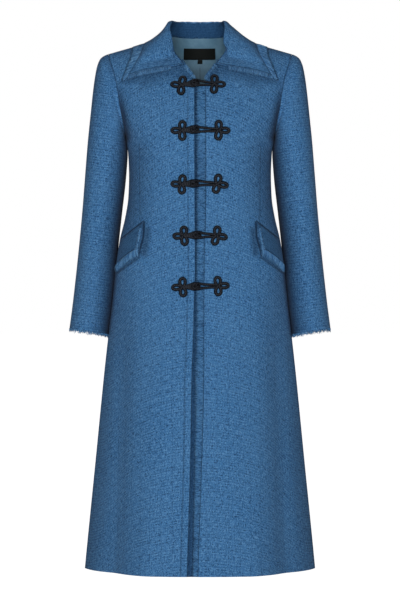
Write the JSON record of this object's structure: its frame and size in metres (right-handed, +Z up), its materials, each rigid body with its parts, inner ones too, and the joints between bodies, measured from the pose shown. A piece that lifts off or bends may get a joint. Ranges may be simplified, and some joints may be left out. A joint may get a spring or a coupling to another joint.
{
  "type": "boucle midi coat",
  "caption": "Fitted woman's midi coat in blue boucle with a pointed collar, frayed edges, slanted pocket flaps and black cord frog fastenings, hollow as worn",
  "frame": {"origin": "midway between the two points where the shoulder seams meet the neck, where a wearer carries the coat", "axes": "+Z up along the coat, the front faces -Y, +X to the wearer's left"},
  "size_m": [0.5516, 0.3658, 1.1537],
  "materials": {
    "boucle": "matte looped wool weave",
    "fray": "frayed yarn",
    "cord": "braided cord",
    "satin": "satin lining",
    "tape": "woven label tape"
  },
  "bodies": {
    "root": {"front_right": "boucle", "front_left": "boucle", "back": "boucle", "sleeve_right": "boucle", "sleeve_left": "boucle", "collar": "boucle", "flap_right": "boucle", "flap_left": "boucle", "fringe_front_upper": "fray", "fringe_front_lower": "fray", "fringe_collar_edge": "fray", "fringe_collar_lead_right": "fray", "fringe_collar_lead_left": "fray", "fringe_cuff_right": "fray", "fringe_cuff_left": "fray", "fringe_flap_right": "fray", "fringe_flap_left": "fray", "frog_1_knot": "cord", "frog_1_loop": "cord", "frog_2_knot": "cord", "frog_2_loop": "cord", "frog_3_knot": "cord", "frog_3_loop": "cord", "frog_4_knot": "cord", "frog_4_loop": "cord", "frog_5_knot": "cord", "frog_5_loop": "cord", "lining_back": "satin", "label": "tape", "size_tab": "tape"}
  },
  "joints": []
}
